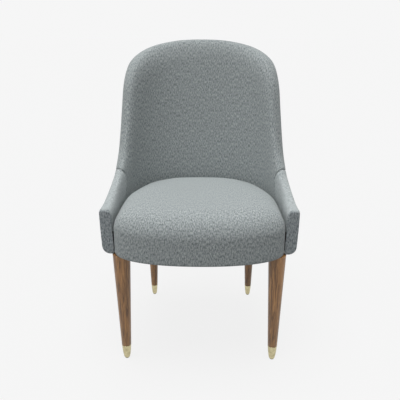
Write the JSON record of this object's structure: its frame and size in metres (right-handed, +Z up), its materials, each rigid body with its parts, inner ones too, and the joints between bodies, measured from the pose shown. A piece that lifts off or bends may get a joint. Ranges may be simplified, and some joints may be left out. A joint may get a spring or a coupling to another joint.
{
  "type": "dining chair",
  "caption": "Upholstered dining chair with a wrap-round back that sweeps down into low arms, a crowned seat and round tapered wooden legs with metal tips.",
  "frame": {"origin": "centre of the chair's footprint at floor level, under its outer box", "axes": "+X to the sitter's left, which is the picture's right, +Y towards the back and +Z up"},
  "size_m": [0.5452, 0.5942, 0.905],
  "materials": {
    "fabric": "woven, heathered grey blue, matt",
    "foam": "open-cell foam, matt",
    "wadding": "fibre wadding, matt",
    "plywood": "bare bent plywood",
    "hardwood": "bare hardwood",
    "walnut": "walnut, satin lacquer",
    "brass": "brushed, satin",
    "steel": "zinc plated",
    "nylon": "moulded, matt",
    "webbing": "woven strap, matt",
    "lining": "thin non-woven cloth, matt"
  },
  "bodies": {
    "root": {"leg_front_left": "walnut", "tip_front_left": "brass", "glide_front_left": "nylon", "leg_bolt_front_left": "steel", "leg_nut_front_left": "steel", "leg_rear_left": "walnut", "tip_rear_left": "brass", "glide_rear_left": "nylon", "leg_bolt_rear_left": "steel", "leg_nut_rear_left": "steel", "leg_front_right": "walnut", "tip_front_right": "brass", "glide_front_right": "nylon", "leg_bolt_front_right": "steel", "leg_nut_front_right": "steel", "leg_rear_right": "walnut", "tip_rear_right": "brass", "glide_rear_right": "nylon", "leg_bolt_rear_right": "steel", "leg_nut_rear_right": "steel", "seat_cover": "fabric", "seat_foam": "foam", "front_rail": "hardwood", "rear_rail": "hardwood", "side_rail_left": "hardwood", "front_block_left": "hardwood", "rear_block_left": "hardwood", "arm_bolt_left_1": "steel", "arm_bolt_left_2": "steel", "wing_bolt_left": "steel", "back_bolt_left": "steel", "side_rail_right": "hardwood", "front_block_right": "hardwood", "rear_block_right": "hardwood", "arm_bolt_right_1": "steel", "arm_bolt_right_2": "steel", "wing_bolt_right": "steel", "back_bolt_right": "steel", "back_board": "plywood", "back_foam": "foam", "inside_back_cover": "fabric", "arm_board_left": "plywood", "arm_foam_left": "foam", "arm_cover_left": "fabric", "arm_board_right": "plywood", "arm_foam_right": "foam", "arm_cover_right": "fabric", "outside_wadding": "wadding", "outside_cover": "fabric", "arm_end_panel_left": "fabric", "arm_end_panel_right": "fabric", "long_strap_1": "webbing", "long_strap_2": "webbing", "long_strap_3": "webbing", "cross_strap_1": "webbing", "cross_strap_2": "webbing", "cross_strap_3": "webbing", "dust_cover": "lining"}
  },
  "joints": []
}
